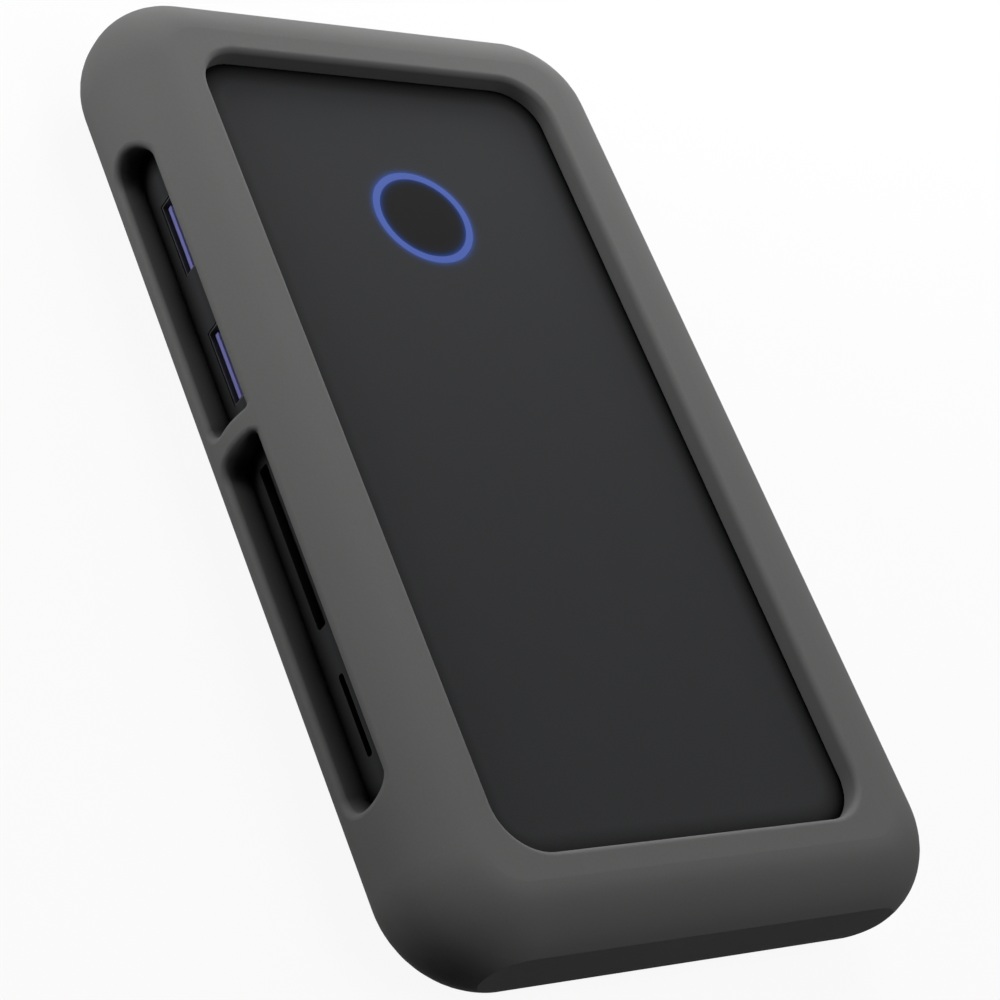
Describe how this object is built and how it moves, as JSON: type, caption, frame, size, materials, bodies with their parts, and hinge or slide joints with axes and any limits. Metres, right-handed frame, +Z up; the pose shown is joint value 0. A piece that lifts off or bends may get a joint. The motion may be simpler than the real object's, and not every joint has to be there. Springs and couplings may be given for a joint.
{
  "type": "hard drive docking station",
  "caption": "Flat rounded docking station with a lit ring on top, data ports and card slots in one long side, in a soft bumper sleeve open over its top and ports.",
  "frame": {"origin": "middle of the flat underside of the sleeve", "axes": "+Z up, +Y along the length towards the light ring and the host port, -X towards the data ports and card slots"},
  "size_m": [0.0916, 0.16, 0.0205],
  "materials": {
    "sleeve_rubber": "satin moulded silicone",
    "housing_plastic": "fine-grained matt moulding",
    "ring_light": "frosted light guide, lit blue",
    "disc_plastic": "smooth dark moulding",
    "lamp": "clear lamp body",
    "board": "solder mask over glass fibre board",
    "port_steel": "stamped plated sheet",
    "port_insulator": "moulded violet blue insulator",
    "socket_black": "moulded black insulator",
    "contact_gold": "gilt spring sheet",
    "chip_black": "moulded chip package",
    "crystal_can": "drawn sheet can",
    "coil_ferrite": "pressed ferrite",
    "capacitor_ceramic": "fired ceramic",
    "screw_steel": "plated steel"
  },
  "bodies": {
    "root": {"protective_sleeve": "sleeve_rubber", "upper_housing": "housing_plastic", "base_plate": "housing_plastic", "drive_bay_door": "housing_plastic", "light_ring": "ring_light", "ring_disc": "disc_plastic", "ring_leds": "lamp", "main_board": "board", "data_port_shell_1": "port_steel", "data_port_shell_2": "port_steel", "card_socket_shell": "port_steel", "small_card_socket_shell": "port_steel", "host_port_shell": "port_steel", "data_port_core_1": "port_insulator", "data_port_core_2": "port_insulator", "host_port_core": "socket_black", "card_socket_base": "socket_black", "small_card_socket_base": "socket_black", "drive_socket": "socket_black", "data_port_contacts_1": "contact_gold", "data_port_contacts_2": "contact_gold", "card_socket_contacts": "contact_gold", "small_card_socket_contacts": "contact_gold", "host_port_contacts": "contact_gold", "drive_socket_contacts": "contact_gold", "hub_chip": "chip_black", "bridge_chip": "chip_black", "card_chip": "chip_black", "crystals": "crystal_can", "power_coils": "coil_ferrite", "capacitors": "capacitor_ceramic", "housing_screws": "screw_steel", "board_screws": "screw_steel", "bay_door_screw": "screw_steel", "drive_screw": "screw_steel", "drive_standoff": "screw_steel"}
  },
  "joints": []
}
